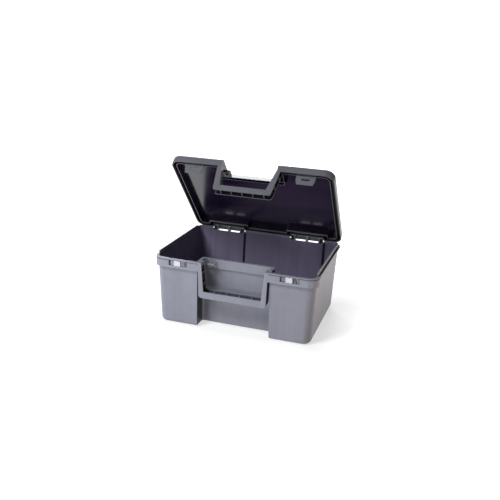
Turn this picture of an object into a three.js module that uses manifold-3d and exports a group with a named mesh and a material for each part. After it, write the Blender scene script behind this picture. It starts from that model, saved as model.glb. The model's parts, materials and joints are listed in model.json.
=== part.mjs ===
// Carpenter toolbox: a drafted tub with a full-height front recess, a shallow hinged lid,
// two half handles that nest into one grip, two pinned hinges and two sliding latches.
// Millimetres, +Z up. The origin is the middle of the underside; the front faces -Y.
import * as THREE from 'three';
import { mergeVertices } from 'three/addons/utils/BufferGeometryUtils.js';
import Module from 'manifold-3d';

const wasm = await Module();
wasm.setup();

// ---- overall sizes -------------------------------------------------------------------
const WIDTH = 400;
const DEPTH = 286;
const RIM_Z = 169;
const LID_HEIGHT = 20;
const PARTING_GAP = 0.4;
const CORNER_RADIUS = 24;
const CORNER_FACETS = 9;
const EDGE_FACETS = 4;
const WALL = 2.6;
const FLOOR = 2.8;
const BASE_EDGE_RADIUS = 10;
const LID_EDGE_RADIUS = 6;
const LID_OPEN_DEG = 48;

const HALF_WIDTH = WIDTH / 2;
const HALF_DEPTH = DEPTH / 2;
const FRONT_Y = -HALF_DEPTH;
const LID_Z = RIM_Z + PARTING_GAP;
const LID_TOP_Z = LID_Z + LID_HEIGHT;

// ---- walls, flange and band ----------------------------------------------------------
const FLANGE_REACH = 5;
const FLANGE_THICKNESS = 4;
const DRAFT_INSET = 6.5;
const BAND_HEIGHT = 22;
const BAND_WRAP = 36;
const BAND_GROOVE_DEPTH = 1.6;
const BAND_GROOVE_HEIGHT = 1.6;
const BAND_GROOVE_DROP = 2.6;
const LIP_INSET = 4.8;
const LIP_THICKNESS = 2.4;
const LIP_CLEARANCE = 0.5;
const LIP_HEIGHT = 9;
const LIP_FRONT_Y = FRONT_Y + 23;
const LIP_BACK_Y = HALF_DEPTH - 26;
const LIP_REAR_HEIGHT = 5.5;

// ---- front recess between the two towers ---------------------------------------------
const RECESS_HALF_WIDTH = 84;
const RECESS_DEPTH = 39;
const RECESS_RIM = 4;
const RECESS_SIDE_DRAFT = 2.5;
const RECESS_BACK_DRAFT = 7.5;
const RECESS_CORNER = 6;
const RECESS_FOOT_RADIUS = 5;

// ---- rear pillars, each one a channel seen from behind --------------------------------
const PILLAR_CENTRE_X = 108.5;
const CHANNEL_HALF_WIDTH = 43.5;
const CHANNEL_FACE_Y = HALF_DEPTH - 14.4;
const CHANNEL_DRAFT = 4;
const PILLAR_TOP_DROP = 1;
const LID_INDENT_Y = HALF_DEPTH - 12;

// ---- hinges --------------------------------------------------------------------------
const HINGE_Y = HALF_DEPTH + 1;
const HINGE_Z = RIM_Z + 1.5;
const KNUCKLE_RADIUS = 3.6;
const PIN_RADIUS = 1.5;
const PIN_HOLE_RADIUS = 1.8;
const LUG_HALF_WIDTH = 3;
const LUG_CREST_RISE = 7.5;
const END_BOX_SKIN = 1.4;
const END_BOX_RISE = 9.5;
const END_BOX_SETBACK = 9;
const KNUCKLE_SPAN = 28;
const LEAF_THICKNESS = 2.6;
const LEAF_RISE = 0.6;

// ---- half handle of the tub ----------------------------------------------------------
const GRIP_DEPTH = 22;
const GRIP_WALL = 2.6;
const TUB_GRIP_OUTER_TOP = 85;
const TUB_GRIP_OUTER_FOOT = 83;
const TUB_GRIP_INNER_TOP = 77.5;
const TUB_GRIP_INNER_FOOT = 71;
const TUB_GRIP_BOTTOM_Z = RIM_Z - 87;
const TUB_GRIP_TOP_Z = RIM_Z - 71;
const TUB_GRIP_RIBS = 4;
const TUB_GRIP_RIB_PITCH = 31;
const TUB_GRIP_CROSS_DROPS = [25, 52];
const GRIP_RIB_THICKNESS = 1.8;

// ---- half handle of the lid ----------------------------------------------------------
const LID_GRIP_OUTER_TOP = 76.5;
const LID_GRIP_OUTER_FOOT = 69.5;
const LID_GRIP_INNER_TOP = 67;
const LID_GRIP_INNER_FOOT = 55;
const LID_GRIP_BOTTOM_Z = RIM_Z - 68;
const LID_GRIP_TOP_Z = RIM_Z - 54.5;
const LID_GRIP_DEPTH = 20;
const LID_GRIP_RIBS = 5;
const LID_GRIP_RIB_PITCH = 26;
const LID_GRIP_CROSS_DROPS = [12, 40];

// ---- lid inside ----------------------------------------------------------------------
const LID_RECESS_HALF_WIDTH = 67.5;
const LID_RECESS_DEPTH = 43;
const LID_RECESS_SLOPE = 0.78;
const LID_RIB_INSET = 10.5;
const LID_RIB_THICKNESS = 1.8;
const LID_RIB_DROP = 1.6;
const STRIKE_X = 136;
const STRIKE_TOP_HALF = 22.5;
const STRIKE_FOOT_HALF = 19;
const STRIKE_DROP = 23;
const STRIKE_FACE_Y = FRONT_Y + 9;
const STRIKE_THICKNESS = 2.2;
const STRIKE_SLOT_HALF = 9.5;
const STRIKE_SLOT_HEIGHT = 5;
const LOCK_LUG_X = -61;
const LOCK_SHELF_DROP = 7.5;
const LOCK_SHELF_THICKNESS = 3;
const LOCK_LUG_HALF = 8.5;
const LOCK_LUG_THICKNESS = 8;
const LOCK_LUG_REACH = 16;
const LOCK_HOLE_RADIUS = 3.5;
const LOCK_HOLE_Y = FRONT_Y + RECESS_DEPTH - 6;

// ---- latches -------------------------------------------------------------------------
const LATCH_X = 136;
const LATCH_Z = RIM_Z - 9.6;
const LATCH_HALF_LENGTH = 23;
const LATCH_HALF_HEIGHT = 6.6;
const LATCH_TRAVEL = 5;
const LATCH_TRACK_HALF_HEIGHT = 8.6;
const LATCH_TRACK_EXTRA = 2;
const LATCH_FRONT_Y = FRONT_Y + 2.2;
const LATCH_TRACK_Y = FRONT_Y + 4.2;
const LATCH_BACK_Y = FRONT_Y + 5.7;
const RUNNING_GAP = 0.3;
const BUTTON_HALF_WIDTH = 8;
const BUTTON_SHIFT = -1.5;
const BUTTON_HALF_HEIGHT = 6.2;
const STEM_HALF_LENGTH = 7;
const STEM_HALF_HEIGHT = 2;

const SIDES = [-1, 1];

// ---- solids --------------------------------------------------------------------------

/** Turns a three geometry into a manifold solid. */
function toSolid(geometry) {
  const bare = geometry.index ? geometry.toNonIndexed() : geometry.clone();
  bare.deleteAttribute('normal');
  bare.deleteAttribute('uv');
  const merged = mergeVertices(bare, 1e-4);
  const vertProperties = new Float32Array(merged.attributes.position.array);
  const triVerts = new Uint32Array(merged.index.array);
  return new wasm.Manifold(new wasm.Mesh({ numProp: 3, vertProperties, triVerts }));
}

/** Turns a manifold solid back into a three geometry. */
function toGeometry(solid) {
  const mesh = solid.getMesh();
  const geometry = new THREE.BufferGeometry();
  const positions = new Float32Array(mesh.vertProperties);
  geometry.setAttribute('position', new THREE.BufferAttribute(positions, 3));
  geometry.setIndex(new THREE.BufferAttribute(new Uint32Array(mesh.triVerts), 1));
  const flat = geometry.toNonIndexed();
  flat.computeVertexNormals();
  return flat;
}

/** A box given by its limits along each axis. */
function block(x0, x1, y0, y1, z0, z1) {
  const geometry = new THREE.BoxGeometry(x1 - x0, y1 - y0, z1 - z0);
  geometry.translate((x0 + x1) / 2, (y0 + y1) / 2, (z0 + z1) / 2);
  return toSolid(geometry);
}

/** A round bar along X. */
function barX(radius, x0, x1, y, z, segments) {
  const geometry = new THREE.CylinderGeometry(radius, radius, x1 - x0, segments);
  geometry.rotateZ(Math.PI / 2);
  geometry.translate((x0 + x1) / 2, y, z);
  return toSolid(geometry);
}

/** A flat outline in X and Z, given thickness from yFront to yBack. */
function facePlate(points, yFront, yBack) {
  const shape = new THREE.Shape(points.map(([x, z]) => new THREE.Vector2(x, z)));
  const geometry = new THREE.ExtrudeGeometry(shape, { depth: yBack - yFront, bevelEnabled: false });
  geometry.rotateX(Math.PI / 2);
  geometry.translate(0, yBack, 0);
  return toSolid(geometry);
}

/** A flat outline in Y and Z, given thickness from x0 to x1. */
function sidePlate(points, x0, x1) {
  const shape = new THREE.Shape(points.map(([y, z]) => new THREE.Vector2(y, z)));
  const geometry = new THREE.ExtrudeGeometry(shape, { depth: x1 - x0, bevelEnabled: false });
  const turn = new THREE.Matrix4().makeBasis(
    new THREE.Vector3(0, 1, 0),
    new THREE.Vector3(0, 0, 1),
    new THREE.Vector3(1, 0, 0),
  );
  geometry.applyMatrix4(turn);
  geometry.translate(x0, 0, 0);
  return toSolid(geometry);
}

/** A rectangle with round corners, as a plan outline. */
function roundedOutline(x0, x1, y0, y1, radius) {
  const quarter = Math.PI / 2;
  const shape = new THREE.Shape();
  shape.moveTo(x0 + radius, y0);
  shape.lineTo(x1 - radius, y0);
  shape.absarc(x1 - radius, y0 + radius, radius, -quarter, 0, false);
  shape.lineTo(x1, y1 - radius);
  shape.absarc(x1 - radius, y1 - radius, radius, 0, quarter, false);
  shape.lineTo(x0 + radius, y1);
  shape.absarc(x0 + radius, y1 - radius, radius, quarter, 2 * quarter, false);
  shape.lineTo(x0, y0 + radius);
  shape.absarc(x0 + radius, y0 + radius, radius, 2 * quarter, 3 * quarter, false);
  return shape;
}

/** A plan outline raised from z0 to z1, with no rounding of its edges. */
function raised(shape, z0, z1, curveSegments = CORNER_FACETS) {
  const geometry = new THREE.ExtrudeGeometry(shape, { depth: z1 - z0, bevelEnabled: false, curveSegments });
  geometry.translate(0, 0, z0);
  return geometry;
}

/**
 * A plan outline raised from z0 to z1 whose ends are rounded by edge.
 * A negative edge flares the ends outwards, for cutting a rounded edge into what is around it.
 */
function raisedRounded(shape, z0, z1, edge, curveSegments = CORNER_FACETS) {
  const thickness = Math.abs(edge);
  const geometry = new THREE.ExtrudeGeometry(shape, {
    depth: z1 - z0 - 2 * thickness,
    bevelEnabled: true,
    bevelThickness: thickness,
    bevelSize: edge,
    bevelOffset: -edge,
    bevelSegments: EDGE_FACETS,
    curveSegments,
  });
  geometry.translate(0, 0, z0 + thickness);
  return geometry;
}

/** Leans the walls of a geometry: insets grow linearly from the rim down to the base. */
function leaned(geometry, insetX, insetY) {
  const position = geometry.attributes.position;
  for (let i = 0; i < position.count; i += 1) {
    const fall = (RIM_Z - position.getZ(i)) / RIM_Z;
    const x = position.getX(i);
    const y = position.getY(i);
    position.setX(i, x - Math.sign(x) * insetX * fall);
    position.setY(i, y - Math.sign(y) * insetY * fall);
  }
  return geometry;
}

/** Joins a list of solids into one. */
function joined(solids) {
  return solids.reduce((whole, solid) => whole.add(solid));
}

/** A plain rectangle with round corners, inset all round from the box's full plan. */
function planOutline(inset) {
  const radius = Math.max(CORNER_RADIUS - inset, 3);
  return roundedOutline(
    -HALF_WIDTH + inset, HALF_WIDTH - inset, -HALF_DEPTH + inset, HALF_DEPTH - inset, radius,
  );
}

/** The front recess as a solid to cut away; grow widens it on every side. */
function recessCutter(grow, z0, z1) {
  const half = RECESS_HALF_WIDTH + grow;
  const back = FRONT_Y + RECESS_DEPTH + grow;
  return toSolid(raised(roundedOutline(-half, half, FRONT_Y - 40, back, RECESS_CORNER), z0, z1, 3));
}

/** The leaning recess below the band, with a rounded foot where it meets the underside. */
function leaningRecess(grow, z0, z1, foot) {
  const half = RECESS_HALF_WIDTH + RECESS_RIM + grow;
  const back = FRONT_Y + RECESS_DEPTH + RECESS_RIM + grow;
  const shape = roundedOutline(-half, half, FRONT_Y - 40, back, RECESS_CORNER + grow);
  const top = z1 + foot;
  const geometry = foot > 0 ? raisedRounded(shape, z0, top, -foot, 3) : raised(shape, z0, top, 3);
  const leaning = toSolid(leaned(geometry, -RECESS_SIDE_DRAFT, RECESS_BACK_DRAFT));
  return foot > 0 ? leaning.intersect(block(-200, 200, -300, 0, z0 - 1, z1)) : leaning;
}

/** The channel behind one pillar; grow widens it to the pillar's inner faces. */
function channelCutter(side, grow, z0, z1) {
  const centre = side * PILLAR_CENTRE_X;
  const half = CHANNEL_HALF_WIDTH + grow;
  const shape = roundedOutline(centre - half, centre + half, CHANNEL_FACE_Y - grow, HALF_DEPTH + 40, 3);
  return toSolid(leaned(raised(shape, z0, z1, 2), 0, CHANNEL_DRAFT));
}

// ---- tub -----------------------------------------------------------------------------

/** The tub's outside before the recess and channels are cut. */
function tubOutside() {
  const walls = leaned(
    raisedRounded(planOutline(FLANGE_REACH), 0, RIM_Z + BASE_EDGE_RADIUS, BASE_EDGE_RADIUS),
    DRAFT_INSET, DRAFT_INSET,
  );
  const wallSolid = toSolid(walls).intersect(block(-250, 250, -200, 200, -1, RIM_Z));
  const flange = toSolid(raised(planOutline(0), RIM_Z - FLANGE_THICKNESS, RIM_Z));
  const band = toSolid(raised(planOutline(0), RIM_Z - BAND_HEIGHT, RIM_Z))
    .intersect(block(-250, 250, -200, FRONT_Y + BAND_WRAP, 0, 200));
  return joined([wallSolid, flange, band]);
}

/** A shallow groove that runs round the band just under the rim. */
function bandGroove() {
  const top = RIM_Z - BAND_GROOVE_DROP;
  const outer = block(-250, 250, -200, FRONT_Y + BAND_WRAP, top - BAND_GROOVE_HEIGHT, top);
  const inner = toSolid(raised(planOutline(BAND_GROOVE_DEPTH), 0, 200));
  const recessEdge = recessCutter(BAND_GROOVE_DEPTH, 0, 200);
  return outer.subtract(inner).subtract(recessEdge);
}

/** The hollow inside of the tub. */
function tubHollow() {
  const inset = FLANGE_REACH + WALL;
  const edge = BASE_EDGE_RADIUS - WALL;
  const hollow = leaned(
    raisedRounded(planOutline(inset), FLOOR, RIM_Z + 3 * edge, edge), DRAFT_INSET, DRAFT_INSET,
  );
  let solid = toSolid(hollow).intersect(block(-250, 250, -200, 200, 0, RIM_Z + 1));
  solid = solid.subtract(leaningRecess(WALL, -1, RIM_Z + 2, 0));
  for (const side of SIDES) {
    solid = solid.subtract(channelCutter(side, WALL, -1, RIM_Z + 2));
  }
  return solid;
}

/** The raised lip round the sides and the rear of the rim, which enters the lid's channel. */
function rimLip() {
  const foot = RIM_Z - FLANGE_THICKNESS;
  const top = RIM_Z + LIP_HEIGHT;
  const outer = toSolid(raised(planOutline(LIP_INSET), foot, top));
  const inner = toSolid(raised(planOutline(LIP_INSET + LIP_THICKNESS), foot - 1, top + 1));
  const front = block(-250, 250, -200, LIP_FRONT_Y, 0, 250);
  const rearTop = block(-250, 250, LIP_BACK_Y, 200, RIM_Z + LIP_REAR_HEIGHT, 250);
  return outer.subtract(inner).subtract(front).subtract(rearTop);
}

/** Corners of a half handle's U outline in X and Z, left side first, then mirrored. */
function gripOutline(outerTop, outerFoot, innerTop, innerFoot, zTop, zInner, zBottom, corner) {
  const left = [
    [-innerTop, zTop], [-outerTop, zTop], [-outerFoot, zBottom + corner],
    [-outerFoot + corner * 0.3, zBottom + corner * 0.3], [-outerFoot + corner, zBottom],
  ];
  const right = left.map(([x, z]) => [-x, z]).reverse();
  return [...left, ...right, [innerFoot, zInner], [-innerFoot, zInner]];
}

/** The tub's half handle: a U-shaped trough that opens towards the middle of the U. */
function tubGrip() {
  const back = FRONT_Y + GRIP_DEPTH;
  const outline = gripOutline(
    TUB_GRIP_OUTER_TOP, TUB_GRIP_OUTER_FOOT, TUB_GRIP_INNER_TOP, TUB_GRIP_INNER_FOOT,
    RIM_Z, TUB_GRIP_TOP_Z, TUB_GRIP_BOTTOM_Z, 7,
  );
  const rim = GRIP_WALL;
  const hollowOutline = [
    [-TUB_GRIP_OUTER_TOP + rim, RIM_Z - 8], [-TUB_GRIP_OUTER_FOOT + rim, TUB_GRIP_BOTTOM_Z + 6],
    [-TUB_GRIP_OUTER_FOOT + rim + 4, TUB_GRIP_BOTTOM_Z + rim],
    [TUB_GRIP_OUTER_FOOT - rim - 4, TUB_GRIP_BOTTOM_Z + rim],
    [TUB_GRIP_OUTER_FOOT - rim, TUB_GRIP_BOTTOM_Z + 6], [TUB_GRIP_OUTER_TOP - rim, RIM_Z - 8],
  ];
  let hollow = facePlate(hollowOutline, FRONT_Y + rim, back - rim);
  for (let i = 0; i < TUB_GRIP_RIBS; i += 1) {
    const x = (i - (TUB_GRIP_RIBS - 1) / 2) * TUB_GRIP_RIB_PITCH;
    const half = GRIP_RIB_THICKNESS / 2;
    hollow = hollow.subtract(
      block(x - half, x + half, FRONT_Y, back, TUB_GRIP_BOTTOM_Z, TUB_GRIP_TOP_Z - 1.5),
    );
  }
  for (const drop of TUB_GRIP_CROSS_DROPS) {
    const half = GRIP_RIB_THICKNESS / 2;
    const z = RIM_Z - drop;
    hollow = hollow.subtract(block(-90, 90, FRONT_Y, back, z - half, z + half));
  }
  return facePlate(outline, FRONT_Y, back).subtract(hollow);
}

/** One hinge lug of the tub, reaching from the pillar's top back to the pin. */
function hingeLug(x0, x1) {
  const web = [
    [CHANNEL_FACE_Y - 1.5, RIM_Z - 26], [CHANNEL_FACE_Y - 1.5, RIM_Z - PILLAR_TOP_DROP],
    [HINGE_Y - 9, RIM_Z - PILLAR_TOP_DROP], [HINGE_Y - 7.5, HINGE_Z + LUG_CREST_RISE],
    [HINGE_Y - 3, HINGE_Z + LUG_CREST_RISE], [HINGE_Y + 2.5, HINGE_Z + 2], [HINGE_Y + 3, HINGE_Z - 2],
  ];
  const eye = barX(KNUCKLE_RADIUS, x0, x1, HINGE_Y, HINGE_Z, 20);
  return sidePlate(web, x0, x1).add(eye);
}

/** Hollow box at the end of a hinge, open towards the inside of the tub. */
function hingeEndBox(x0, x1) {
  const front = CHANNEL_FACE_Y - 1.5;
  const back = HALF_DEPTH - 2;
  const skin = END_BOX_SKIN;
  const lower = block(x0, x1, front, back, RIM_Z - 26, RIM_Z - PILLAR_TOP_DROP);
  const upper = block(
    x0, x1, front + END_BOX_SETBACK, back, RIM_Z - PILLAR_TOP_DROP - 1, RIM_Z + END_BOX_RISE,
  );
  const pocket = block(
    x0 + skin, x1 - skin, front - 3, back - skin, RIM_Z - PILLAR_TOP_DROP - 8, RIM_Z + END_BOX_RISE - skin,
  );
  return lower.add(upper).subtract(pocket);
}

/** Where one hinge's three lugs and two end boxes stand along X. */
function hingeStations(side) {
  const centre = side * PILLAR_CENTRE_X;
  const reach = LUG_HALF_WIDTH + KNUCKLE_SPAN;
  return {
    lugs: [
      [centre - reach - 3, centre - reach],
      [centre - LUG_HALF_WIDTH, centre + LUG_HALF_WIDTH],
      [centre + reach, centre + reach + 3],
    ],
    boxes: [
      [centre - CHANNEL_HALF_WIDTH + 0.6, centre - reach - 1.6],
      [centre + reach + 1.6, centre + CHANNEL_HALF_WIDTH - 0.6],
    ],
    knuckles: [
      [centre - reach + RUNNING_GAP, centre - LUG_HALF_WIDTH - RUNNING_GAP],
      [centre + LUG_HALF_WIDTH + RUNNING_GAP, centre + reach - RUNNING_GAP],
    ],
    pin: [centre - reach - 2.2, centre + reach + 2.2],
  };
}

/** The slot, the track and the stem slot that one latch slides in, to cut from the band. */
function latchCutter(side) {
  const x = side * LATCH_X;
  const length = LATCH_HALF_LENGTH;
  const window = block(
    x - length, x + length, FRONT_Y - 1, LATCH_FRONT_Y,
    LATCH_Z - LATCH_HALF_HEIGHT, LATCH_Z + LATCH_HALF_HEIGHT,
  );
  const track = block(
    x - length - LATCH_TRACK_EXTRA, x + length + LATCH_TRACK_EXTRA, LATCH_FRONT_Y - 0.01, LATCH_TRACK_Y,
    LATCH_Z - LATCH_TRACK_HALF_HEIGHT, LATCH_Z + LATCH_TRACK_HALF_HEIGHT,
  );
  const stemSlot = block(
    x - STEM_HALF_LENGTH - LATCH_TRAVEL - 1, x + STEM_HALF_LENGTH + 1, LATCH_TRACK_Y - 0.01, LATCH_BACK_Y + 6,
    LATCH_Z - STEM_HALF_HEIGHT - 0.4, LATCH_Z + STEM_HALF_HEIGHT + 0.4,
  );
  const relief = block(x - 26, x + 26, LATCH_BACK_Y, FRONT_Y + 12, RIM_Z - BAND_HEIGHT + 1, RIM_Z + 1);
  return joined([window, track, stemSlot, relief]);
}

/** The upright hole that a padlock's shackle passes through, in the shelf and in the lid's lug. */
function lockHole() {
  const hole = new THREE.CylinderGeometry(LOCK_HOLE_RADIUS, LOCK_HOLE_RADIUS, 24, 16);
  hole.rotateX(Math.PI / 2);
  hole.translate(LOCK_LUG_X, LOCK_HOLE_Y, RIM_Z);
  return toSolid(hole);
}

/** A small shelf with a hole on the recess wall, below the lid's lock lug. */
function lockShelf() {
  const back = FRONT_Y + RECESS_DEPTH;
  const half = LOCK_LUG_HALF;
  const shelf = block(
    LOCK_LUG_X - half, LOCK_LUG_X + half, back - LOCK_LUG_REACH, back + 2,
    RIM_Z - LOCK_SHELF_DROP - LOCK_SHELF_THICKNESS, RIM_Z - LOCK_SHELF_DROP,
  );
  return shelf.subtract(lockHole());
}

function bodyShell() {
  let solid = tubOutside().subtract(bandGroove()).add(rimLip());
  solid = solid.subtract(recessCutter(0, RIM_Z - BAND_HEIGHT, RIM_Z + 1));
  solid = solid.subtract(leaningRecess(0, -0.1, RIM_Z - BAND_HEIGHT + 0.01, RECESS_FOOT_RADIUS));
  solid = solid.subtract(tubHollow());
  for (const side of SIDES) {
    const x = side * PILLAR_CENTRE_X;
    const half = CHANNEL_HALF_WIDTH + WALL + LIP_CLEARANCE;
    const low = RIM_Z - PILLAR_TOP_DROP;
    const wide = CHANNEL_HALF_WIDTH;
    solid = solid.subtract(channelCutter(side, 0, -1, RIM_Z + 1));
    solid = solid.subtract(
      block(x - half, x + half, CHANNEL_FACE_Y - 8, HALF_DEPTH + 9, RIM_Z, RIM_Z + LIP_HEIGHT + 1),
    );
    solid = solid.subtract(block(x - wide, x + wide, CHANNEL_FACE_Y - 8, HALF_DEPTH + 9, low, RIM_Z + 1));
  }
  solid = solid.add(tubGrip()).add(lockShelf());
  for (const side of SIDES) {
    const stations = hingeStations(side);
    for (const [x0, x1] of stations.lugs) {
      solid = solid.add(hingeLug(x0, x1));
    }
    for (const [x0, x1] of stations.boxes) {
      solid = solid.add(hingeEndBox(x0, x1));
    }
    const [p0, p1] = stations.pin;
    solid = solid.subtract(barX(PIN_HOLE_RADIUS, p0 - RUNNING_GAP, p1 + RUNNING_GAP, HINGE_Y, HINGE_Z, 14));
    solid = solid.subtract(latchCutter(side));
  }
  return solid;
}

// ---- lid, drawn closed -----------------------------------------------------------------

/** The lid's recess, whose back wall leans away from the grip towards the lid's top. */
function lidRecess(grow, z0, z1) {
  const half = LID_RECESS_HALF_WIDTH + grow;
  const back = FRONT_Y + LID_RECESS_DEPTH + grow;
  const geometry = raised(roundedOutline(-half, half, FRONT_Y - 40, back, RECESS_CORNER), z0, z1, 3);
  const position = geometry.attributes.position;
  for (let i = 0; i < position.count; i += 1) {
    if (position.getY(i) > FRONT_Y) {
      position.setY(i, position.getY(i) + (position.getZ(i) - LID_Z) * LID_RECESS_SLOPE);
    }
  }
  return toSolid(geometry);
}

/** The lid's plan with its recess and hinge indents, inset all round, from z0 to z1. */
function lidPlan(inset, z0, z1, edge) {
  const shape = planOutline(inset);
  const base = edge > 0
    ? toSolid(raisedRounded(shape, z0 - 2 * edge, z1, edge)).intersect(block(-250, 250, -200, 200, z0, z1))
    : toSolid(raised(shape, z0, z1));
  let solid = base.subtract(lidRecess(inset, z0 - 1, z1 + 1));
  for (const side of SIDES) {
    const half = CHANNEL_HALF_WIDTH + inset;
    const centre = side * PILLAR_CENTRE_X;
    const indent = roundedOutline(centre - half, centre + half, LID_INDENT_Y - inset, HALF_DEPTH + 30, 3);
    solid = solid.subtract(toSolid(raised(indent, z0 - 1, z1 + 1, 2)));
  }
  return solid;
}

/** The thin rib inside the lid that closes the channel around its edge. */
function lidRib() {
  const top = LID_TOP_Z - 1;
  const outer = lidPlan(LID_RIB_INSET, LID_Z + LID_RIB_DROP, top, 0);
  const inner = lidPlan(LID_RIB_INSET + LID_RIB_THICKNESS, LID_Z, LID_TOP_Z, 0);
  return outer.subtract(inner);
}

/** The lid's half handle: a U-shaped trough that opens outwards, over the tub's half. */
function lidGrip() {
  const back = FRONT_Y + LID_GRIP_DEPTH;
  const body = facePlate(gripOutline(
    LID_GRIP_OUTER_TOP, LID_GRIP_OUTER_FOOT, LID_GRIP_INNER_TOP, LID_GRIP_INNER_FOOT,
    LID_Z + 1, LID_GRIP_TOP_Z, LID_GRIP_BOTTOM_Z, 5,
  ), FRONT_Y, back);
  const rim = GRIP_WALL;
  const corePoints = [
    [-LID_GRIP_INNER_TOP - rim, LID_Z + 2], [-LID_GRIP_INNER_FOOT - rim, LID_GRIP_TOP_Z - rim],
    [LID_GRIP_INNER_FOOT + rim, LID_GRIP_TOP_Z - rim], [LID_GRIP_INNER_TOP + rim, LID_Z + 2],
  ];
  const core = facePlate(corePoints, FRONT_Y - 1, back + 1);
  const reach = LID_GRIP_OUTER_TOP + 1;
  const trough = block(-reach, reach, FRONT_Y + rim, back - rim, LID_GRIP_BOTTOM_Z - 1, LID_Z + 2);
  let hollow = trough.subtract(core);
  const half = GRIP_RIB_THICKNESS / 2;
  for (let i = 0; i < LID_GRIP_RIBS; i += 1) {
    const x = (i - (LID_GRIP_RIBS - 1) / 2) * LID_GRIP_RIB_PITCH;
    const low = LID_GRIP_BOTTOM_Z + 1.5;
    hollow = hollow.subtract(block(x - half, x + half, FRONT_Y, back, low, LID_GRIP_TOP_Z));
  }
  for (const drop of LID_GRIP_CROSS_DROPS) {
    const z = RIM_Z - drop;
    hollow = hollow.subtract(block(-90, 90, FRONT_Y, back, z - half, z + half));
  }
  return body.subtract(hollow);
}

/** One strike tab with its slot, hanging behind the lid's front wall. */
function strikeTab(side) {
  const x = side * STRIKE_X;
  const points = [
    [x - STRIKE_TOP_HALF, LID_TOP_Z - 1], [x - STRIKE_TOP_HALF, RIM_Z - STRIKE_DROP + 12],
    [x - STRIKE_FOOT_HALF, RIM_Z - STRIKE_DROP], [x + STRIKE_FOOT_HALF, RIM_Z - STRIKE_DROP],
    [x + STRIKE_TOP_HALF, RIM_Z - STRIKE_DROP + 12], [x + STRIKE_TOP_HALF, LID_TOP_Z - 1],
  ];
  const back = STRIKE_FACE_Y + STRIKE_THICKNESS;
  const half = STRIKE_SLOT_HEIGHT / 2;
  const slot = block(
    x - STRIKE_SLOT_HALF, x + STRIKE_SLOT_HALF, STRIKE_FACE_Y - 1, back + 1, LATCH_Z - half, LATCH_Z + half,
  );
  return facePlate(points, STRIKE_FACE_Y, back).subtract(slot);
}

/** Short ribs that carry the recess's back wall on into the towers, at both sides. */
function recessEndRibs() {
  const back = FRONT_Y + LID_RECESS_DEPTH;
  return SIDES.map((side) => {
    const inner = side * LID_RECESS_HALF_WIDTH;
    const outer = side * RECESS_HALF_WIDTH;
    const low = LID_Z + LID_RIB_DROP;
    return block(Math.min(inner, outer), Math.max(inner, outer), back, back + WALL, low, LID_TOP_Z - 1);
  });
}

/** The pierced lug for a padlock at the recess's left corner, standing behind the lid's grip. */
function lockLug() {
  const back = FRONT_Y + LID_RECESS_DEPTH;
  const half = LOCK_LUG_HALF;
  const lug = block(
    LOCK_LUG_X - half, LOCK_LUG_X + half, back - LOCK_LUG_REACH, back + 2, LID_Z, LID_Z + LOCK_LUG_THICKNESS,
  );
  return lug.subtract(lockHole());
}

/** The knuckles and leaves that carry the lid on one pin. */
function lidHinge(side) {
  const parts = hingeStations(side).knuckles.map(([x0, x1]) => {
    const foot = HINGE_Z - LEAF_THICKNESS / 2 + LEAF_RISE;
    const leaf = block(x0, x1, LID_INDENT_Y - 1, HINGE_Y, foot, foot + LEAF_THICKNESS);
    return leaf.add(barX(KNUCKLE_RADIUS, x0, x1, HINGE_Y, HINGE_Z, 20));
  });
  const [p0, p1] = hingeStations(side).pin;
  return joined(parts).subtract(barX(PIN_HOLE_RADIUS, p0, p1, HINGE_Y, HINGE_Z, 14));
}

function lidShell() {
  let solid = lidPlan(0, LID_Z, LID_TOP_Z, LID_EDGE_RADIUS);
  solid = solid.subtract(lidPlan(WALL, LID_Z - 1, LID_TOP_Z - FLOOR, 0));
  const parts = [solid, lidRib(), lidGrip(), lockLug(), ...recessEndRibs()];
  for (const side of SIDES) {
    parts.push(strikeTab(side));
    parts.push(lidHinge(side));
  }
  return joined(parts);
}

// ---- pins and latches ------------------------------------------------------------------

function hingePin(side) {
  const [x0, x1] = hingeStations(side).pin;
  return barX(PIN_RADIUS, x0, x1, HINGE_Y, HINGE_Z, 16);
}

/** The grey slider: a flanged plate in the track, a thumb field with ribs and a stem to the hook. */
function latchSlider(side) {
  const x = side * LATCH_X;
  const left = x - LATCH_HALF_LENGTH + LATCH_TRAVEL + RUNNING_GAP;
  const right = x + LATCH_HALF_LENGTH - RUNNING_GAP;
  const high = LATCH_TRACK_HALF_HEIGHT - RUNNING_GAP;
  const low = LATCH_HALF_HEIGHT - RUNNING_GAP;
  const flange = block(left - 1, right + 1, LATCH_FRONT_Y + RUNNING_GAP, LATCH_TRACK_Y - RUNNING_GAP,
    LATCH_Z - high, LATCH_Z + high);
  const field = block(left, right, FRONT_Y + 1.2, LATCH_FRONT_Y + 1, LATCH_Z - low, LATCH_Z + low);
  const stem = block(
    x - STEM_HALF_LENGTH, x + STEM_HALF_LENGTH, LATCH_TRACK_Y - 1, LATCH_BACK_Y + 1.6,
    LATCH_Z - STEM_HALF_HEIGHT, LATCH_Z + STEM_HALF_HEIGHT,
  );
  const ribs = [0, 1, 2].map((i) => {
    const at = x + BUTTON_SHIFT + BUTTON_HALF_WIDTH + 3.2 + i * 4;
    return block(at, at + 1.6, FRONT_Y + 0.2, FRONT_Y + 1.4, LATCH_Z - low + 1, LATCH_Z + low - 1);
  });
  const seat = block(
    x + BUTTON_SHIFT - 3 - RUNNING_GAP, x + BUTTON_SHIFT + 3 + RUNNING_GAP, FRONT_Y - 1, FRONT_Y + 2.6,
    LATCH_Z - 3 - RUNNING_GAP, LATCH_Z + 3 + RUNNING_GAP,
  );
  return joined([flange, field, stem, ...ribs]).subtract(seat);
}

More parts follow.
